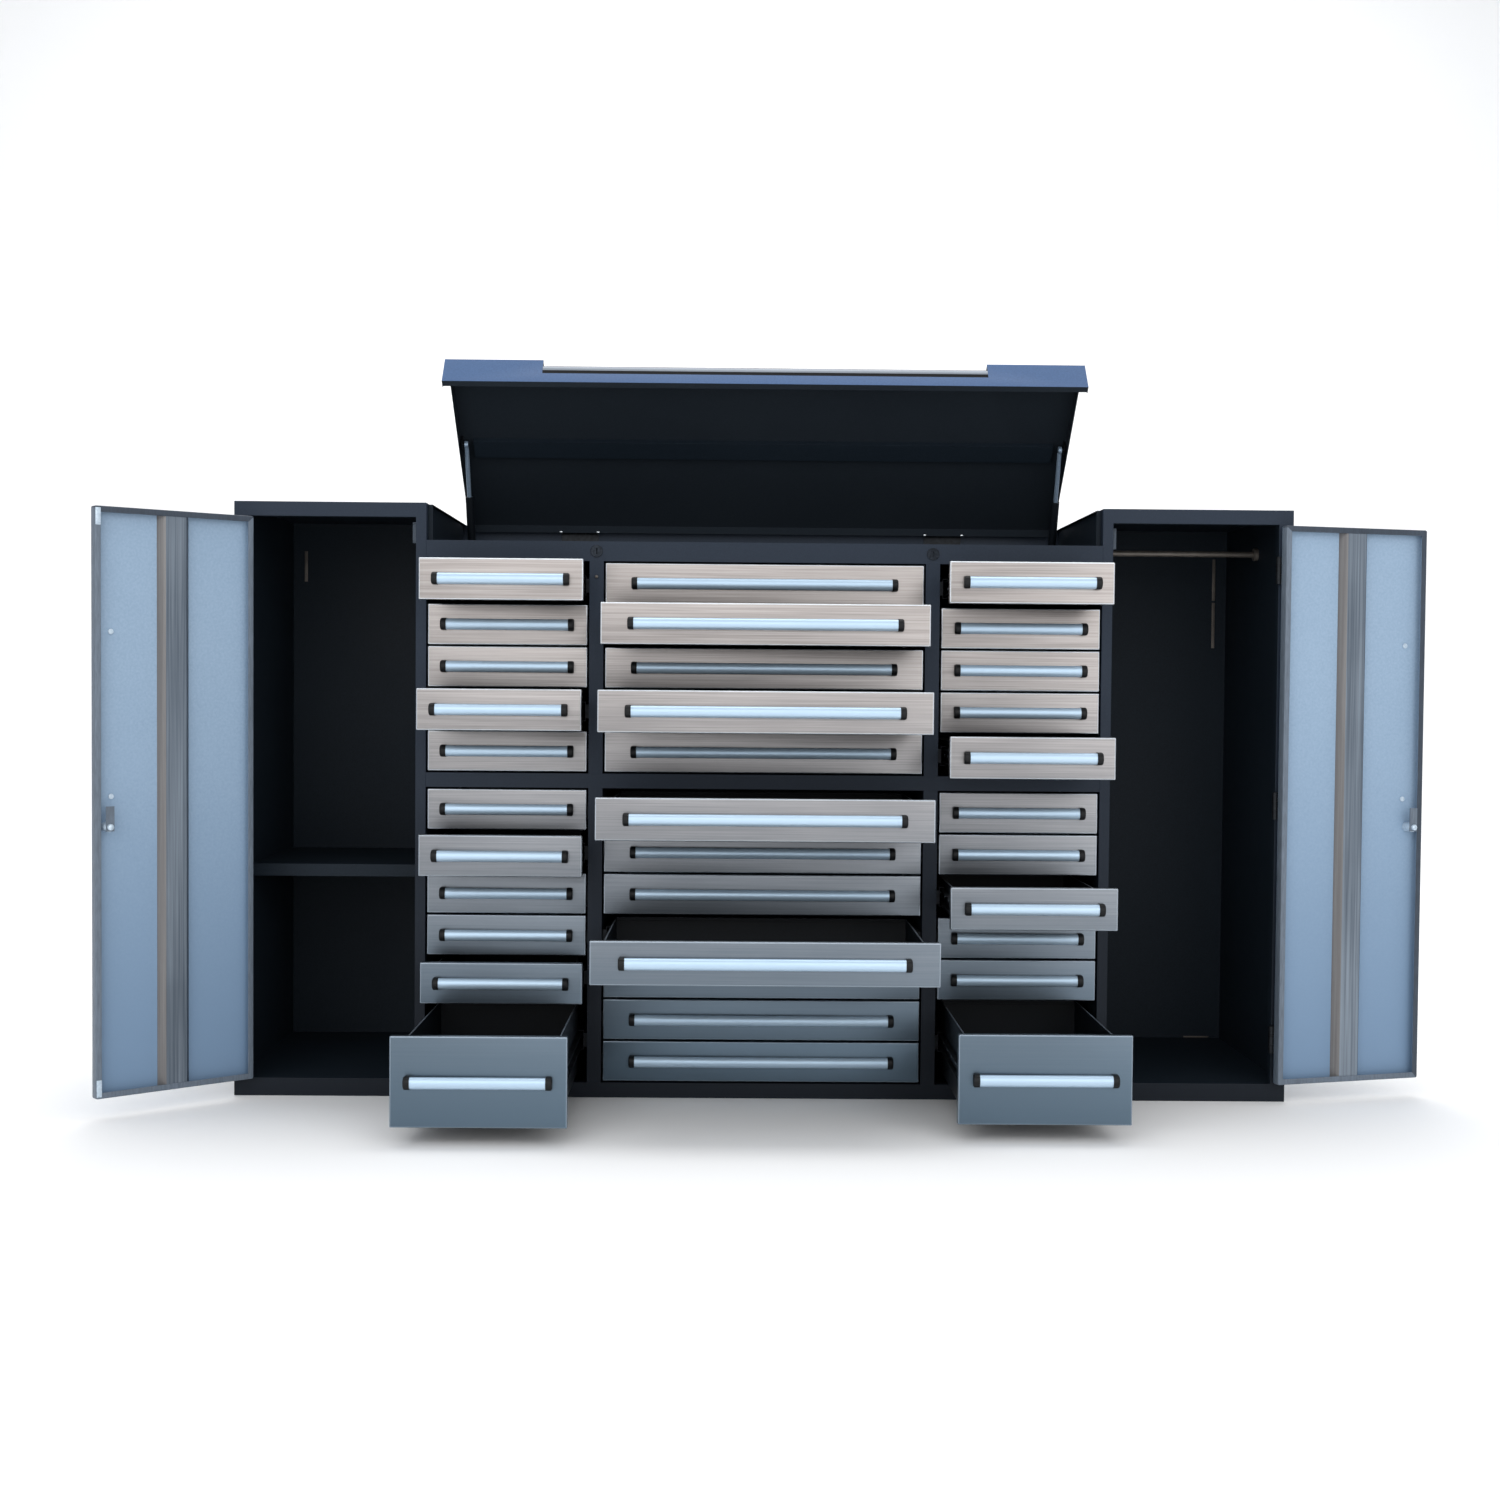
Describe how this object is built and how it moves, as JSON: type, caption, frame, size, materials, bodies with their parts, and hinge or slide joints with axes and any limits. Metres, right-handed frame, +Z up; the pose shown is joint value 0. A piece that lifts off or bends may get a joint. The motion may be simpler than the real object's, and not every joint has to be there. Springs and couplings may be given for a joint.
{
  "type": "rolling tool chest",
  "caption": "Wide steel tool chest: a bank of drawers in columns between full-height lockers with swinging doors, under a lidded top recess held by gas struts.",
  "frame": {"origin": "middle of the cabinet's footprint, on the floor", "axes": "+X along the width to the user's right facing the drawers, +Y to the back, +Z up; drawers open towards -Y"},
  "size_m": [2.2614, 0.8475, 1.2985],
  "materials": {
    "stainless_front": "horizontally brushed stainless",
    "carcass_paint": "smooth satin powder coat",
    "inner_paint": "satin powder coat, inside faces",
    "door_paint": "smooth satin powder coat",
    "lid_paint": "smooth satin powder coat",
    "pull_aluminium": "satin anodised extrusion",
    "lock_chrome": "plated",
    "hinge_steel": "zinc plated",
    "slide_steel": "zinc plated, rolled",
    "rod_steel": "plated tube",
    "catch_plastic": "moulded",
    "strut_black": "gloss black enamel"
  },
  "bodies": {
    "cabinet": {"cabinet_shell": "carcass_paint", "front_frame": "carcass_paint", "column_dividers": "inner_paint", "back_panel": "carcass_paint", "chest_pan": "inner_paint", "right_locker_shell": "carcass_paint", "left_locker_shell": "carcass_paint", "locker_shelf": "inner_paint", "hanging_rod": "rod_steel", "door_catches": "catch_plastic", "drawer_slide_rails": "slide_steel", "hinge_hardware": "hinge_steel"},
    "left_drawer_01": {"left_drawer_01": "stainless_front"},
    "left_drawer_02": {"left_drawer_02": "stainless_front"},
    "left_drawer_03": {"left_drawer_03": "stainless_front"},
    "left_drawer_04": {"left_drawer_04": "stainless_front"},
    "left_drawer_05": {"left_drawer_05": "stainless_front"},
    "left_drawer_06": {"left_drawer_06": "stainless_front"},
    "left_drawer_07": {"left_drawer_07": "stainless_front"},
    "left_drawer_08": {"left_drawer_08": "stainless_front"},
    "left_drawer_09": {"left_drawer_09": "stainless_front"},
    "left_drawer_10": {"left_drawer_10": "stainless_front"},
    "left_drawer_11": {"left_drawer_11": "stainless_front"},
    "centre_drawer_01": {"centre_drawer_01": "stainless_front"},
    "centre_drawer_02": {"centre_drawer_02": "stainless_front"},
    "centre_drawer_03": {"centre_drawer_03": "stainless_front"},
    "centre_drawer_04": {"centre_drawer_04": "stainless_front"},
    "centre_drawer_05": {"centre_drawer_05": "stainless_front"},
    "centre_drawer_06": {"centre_drawer_06": "stainless_front"},
    "centre_drawer_07": {"centre_drawer_07": "stainless_front"},
    "centre_drawer_08": {"centre_drawer_08": "stainless_front"},
    "centre_drawer_09": {"centre_drawer_09": "stainless_front"},
    "centre_drawer_10": {"centre_drawer_10": "stainless_front"},
    "centre_drawer_11": {"centre_drawer_11": "stainless_front"},
    "centre_drawer_12": {"centre_drawer_12": "stainless_front"},
    "right_drawer_01": {"right_drawer_01": "stainless_front"},
    "right_drawer_02": {"right_drawer_02": "stainless_front"},
    "right_drawer_03": {"right_drawer_03": "stainless_front"},
    "right_drawer_04": {"right_drawer_04": "stainless_front"},
    "right_drawer_05": {"right_drawer_05": "stainless_front"},
    "right_drawer_06": {"right_drawer_06": "stainless_front"},
    "right_drawer_07": {"right_drawer_07": "stainless_front"},
    "right_drawer_08": {"right_drawer_08": "stainless_front"},
    "right_drawer_09": {"right_drawer_09": "stainless_front"},
    "right_drawer_10": {"right_drawer_10": "stainless_front"},
    "right_drawer_11": {"right_drawer_11": "stainless_front"},
    "right_door": {"right_door_panel": "door_paint", "right_door_handle": "pull_aluminium"},
    "right_door_lock": {"right_door_lock": "lock_chrome"},
    "right_drawer_lock": {"right_drawer_lock": "lock_chrome"},
    "left_door": {"left_door_panel": "door_paint", "left_door_handle": "pull_aluminium"},
    "left_door_lock": {"left_door_lock": "lock_chrome"},
    "left_drawer_lock": {"left_drawer_lock": "lock_chrome"},
    "lid": {"lid_panel": "lid_paint", "lid_pull_bar": "pull_aluminium"},
    "right_strut_cylinder": {"right_strut_cylinder": "strut_black"},
    "right_strut_rod": {"right_strut_rod": "rod_steel"},
    "left_strut_cylinder": {"left_strut_cylinder": "strut_black"},
    "left_strut_rod": {"left_strut_rod": "rod_steel"}
  },
  "joints": [
    {"name": "left_drawer_01_slide", "type": "slide", "parent": "cabinet", "child": "left_drawer_01", "axis": [0, -1, 0], "range_m": [-0.104, 0.286]},
    {"name": "left_drawer_02_slide", "type": "slide", "parent": "cabinet", "child": "left_drawer_02", "axis": [0, -1, 0], "range_m": [0, 0.39]},
    {"name": "left_drawer_03_slide", "type": "slide", "parent": "cabinet", "child": "left_drawer_03", "axis": [0, -1, 0], "range_m": [0, 0.39]},
    {"name": "left_drawer_04_slide", "type": "slide", "parent": "cabinet", "child": "left_drawer_04", "axis": [0, -1, 0], "range_m": [-0.127, 0.263]},
    {"name": "left_drawer_05_slide", "type": "slide", "parent": "cabinet", "child": "left_drawer_05", "axis": [0, -1, 0], "range_m": [0, 0.39]},
    {"name": "left_drawer_06_slide", "type": "slide", "parent": "cabinet", "child": "left_drawer_06", "axis": [0, -1, 0], "range_m": [0, 0.39]},
    {"name": "left_drawer_07_slide", "type": "slide", "parent": "cabinet", "child": "left_drawer_07", "axis": [0, -1, 0], "range_m": [-0.099, 0.291]},
    {"name": "left_drawer_08_slide", "type": "slide", "parent": "cabinet", "child": "left_drawer_08", "axis": [0, -1, 0], "range_m": [0, 0.39]},
    {"name": "left_drawer_09_slide", "type": "slide", "parent": "cabinet", "child": "left_drawer_09", "axis": [0, -1, 0], "range_m": [0, 0.39]},
    {"name": "left_drawer_10_slide", "type": "slide", "parent": "cabinet", "child": "left_drawer_10", "axis": [0, -1, 0], "range_m": [-0.078, 0.312]},
    {"name": "left_drawer_11_slide", "type": "slide", "parent": "cabinet", "child": "left_drawer_11", "axis": [0, -1, 0], "range_m": [-0.374, 0.016]},
    {"name": "centre_drawer_01_slide", "type": "slide", "parent": "cabinet", "child": "centre_drawer_01", "axis": [0, -1, 0], "range_m": [0, 0.39]},
    {"name": "centre_drawer_02_slide", "type": "slide", "parent": "cabinet", "child": "centre_drawer_02", "axis": [0, -1, 0], "range_m": [-0.127, 0.263]},
    {"name": "centre_drawer_03_slide", "type": "slide", "parent": "cabinet", "child": "centre_drawer_03", "axis": [0, -1, 0], "range_m": [0, 0.39]},
    {"name": "centre_drawer_04_slide", "type": "slide", "parent": "cabinet", "child": "centre_drawer_04", "axis": [0, -1, 0], "range_m": [-0.193, 0.197]},
    {"name": "centre_drawer_05_slide", "type": "slide", "parent": "cabinet", "child": "centre_drawer_05", "axis": [0, -1, 0], "range_m": [0, 0.39]},
    {"name": "centre_drawer_06_slide", "type": "slide", "parent": "cabinet", "child": "centre_drawer_06", "axis": [0, -1, 0], "range_m": [-0.236, 0.154]},
    {"name": "centre_drawer_07_slide", "type": "slide", "parent": "cabinet", "child": "centre_drawer_07", "axis": [0, -1, 0], "range_m": [0, 0.39]},
    {"name": "centre_drawer_08_slide", "type": "slide", "parent": "cabinet", "child": "centre_drawer_08", "axis": [0, -1, 0], "range_m": [0, 0.39]},
    {"name": "centre_drawer_09_slide", "type": "slide", "parent": "cabinet", "child": "centre_drawer_09", "axis": [0, -1, 0], "range_m": [-0.341, 0.049]},
    {"name": "centre_drawer_10_slide", "type": "slide", "parent": "cabinet", "child": "centre_drawer_10", "axis": [0, -1, 0], "range_m": [0, 0.39]},
    {"name": "centre_drawer_11_slide", "type": "slide", "parent": "cabinet", "child": "centre_drawer_11", "axis": [0, -1, 0], "range_m": [0, 0.39]},
    {"name": "centre_drawer_12_slide", "type": "slide", "parent": "cabinet", "child": "centre_drawer_12", "axis": [0, -1, 0], "range_m": [0, 0.39]},
    {"name": "right_drawer_01_slide", "type": "slide", "parent": "cabinet", "child": "right_drawer_01", "axis": [0, -1, 0], "range_m": [-0.127, 0.263]},
    {"name": "right_drawer_02_slide", "type": "slide", "parent": "cabinet", "child": "right_drawer_02", "axis": [0, -1, 0], "range_m": [0, 0.39]},
    {"name": "right_drawer_03_slide", "type": "slide", "parent": "cabinet", "child": "right_drawer_03", "axis": [0, -1, 0], "range_m": [0, 0.39]},
    {"name": "right_drawer_04_slide", "type": "slide", "parent": "cabinet", "child": "right_drawer_04", "axis": [0, -1, 0], "range_m": [0, 0.39]},
    {"name": "right_drawer_05_slide", "type": "slide", "parent": "cabinet", "child": "right_drawer_05", "axis": [0, -1, 0], "range_m": [-0.157, 0.233]},
    {"name": "right_drawer_06_slide", "type": "slide", "parent": "cabinet", "child": "right_drawer_06", "axis": [0, -1, 0], "range_m": [0, 0.39]},
    {"name": "right_drawer_07_slide", "type": "slide", "parent": "cabinet", "child": "right_drawer_07", "axis": [0, -1, 0], "range_m": [0, 0.39]},
    {"name": "right_drawer_08_slide", "type": "slide", "parent": "cabinet", "child": "right_drawer_08", "axis": [0, -1, 0], "range_m": [-0.193, 0.197]},
    {"name": "right_drawer_09_slide", "type": "slide", "parent": "cabinet", "child": "right_drawer_09", "axis": [0, -1, 0], "range_m": [0, 0.39]},
    {"name": "right_drawer_10_slide", "type": "slide", "parent": "cabinet", "child": "right_drawer_10", "axis": [0, -1, 0], "range_m": [0, 0.39]},
    {"name": "right_drawer_11_slide", "type": "slide", "parent": "cabinet", "child": "right_drawer_11", "axis": [0, -1, 0], "range_m": [-0.328, 0.062]},
    {"name": "right_door_hinge", "type": "hinge", "parent": "cabinet", "child": "right_door", "pos_m": [0.888, -0.2345, 0.5], "axis": [0, 0, 1], "range_deg": [-196, 4]},
    {"name": "right_door_lock_turn", "type": "hinge", "parent": "right_door", "child": "right_door_lock", "pos_m": [1.13862, -0.16888, 0.479], "axis": [-0.2756, 0.9613, 0], "range_deg": [0, 90]},
    {"name": "right_drawer_lock_turn", "type": "hinge", "parent": "cabinet", "child": "right_drawer_lock", "pos_m": [0.29047, -0.2285, 0.94805], "axis": [0, 1, 0], "range_deg": [0, 90]},
    {"name": "left_door_hinge", "type": "hinge", "parent": "cabinet", "child": "left_door", "pos_m": [-0.888, -0.2345, 0.5], "axis": [0, 0, 1], "range_deg": [-60.5, 139.5]},
    {"name": "left_door_lock_turn", "type": "hinge", "parent": "left_door", "child": "left_door_lock", "pos_m": [-1.08105, -0.40727, 0.479], "axis": [0.6494, -0.7604, 0], "range_deg": [0, 90]},
    {"name": "left_drawer_lock_turn", "type": "hinge", "parent": "cabinet", "child": "left_drawer_lock", "pos_m": [-0.29047, -0.2285, 0.94805], "axis": [0, 1, 0], "range_deg": [0, 90]},
    {"name": "lid_hinge", "type": "hinge", "parent": "cabinet", "child": "lid", "pos_m": [0, 0.2135, 1.015], "axis": [1, 0, 0], "range_deg": [0, 41.5]},
    {"name": "right_strut_swing", "type": "hinge", "parent": "cabinet", "child": "right_strut_cylinder", "pos_m": [0.552, 0.1415, 0.945], "axis": [1, 0, 0], "range_deg": [-1, 42.94]},
    {"name": "right_strut_stroke", "type": "slide", "parent": "right_strut_cylinder", "child": "right_strut_rod", "axis": [0, -0.4143, 0.9101], "range_m": [-0.07314, 0.002]},
    {"name": "left_strut_swing", "type": "hinge", "parent": "cabinet", "child": "left_strut_cylinder", "pos_m": [-0.552, 0.1415, 0.945], "axis": [1, 0, 0], "range_deg": [-1, 42.94]},
    {"name": "left_strut_stroke", "type": "slide", "parent": "left_strut_cylinder", "child": "left_strut_rod", "axis": [0, -0.4143, 0.9101], "range_m": [-0.07314, 0.002]}
  ],
  "couplings": [
    {"joint": "right_strut_swing", "follows": "lid_hinge", "ratio": 1.0106},
    {"joint": "right_strut_stroke", "follows": "lid_hinge", "m_per_rad": -0.098216},
    {"joint": "left_strut_swing", "follows": "lid_hinge", "ratio": 1.0106},
    {"joint": "left_strut_stroke", "follows": "lid_hinge", "m_per_rad": -0.098216}
  ]
}
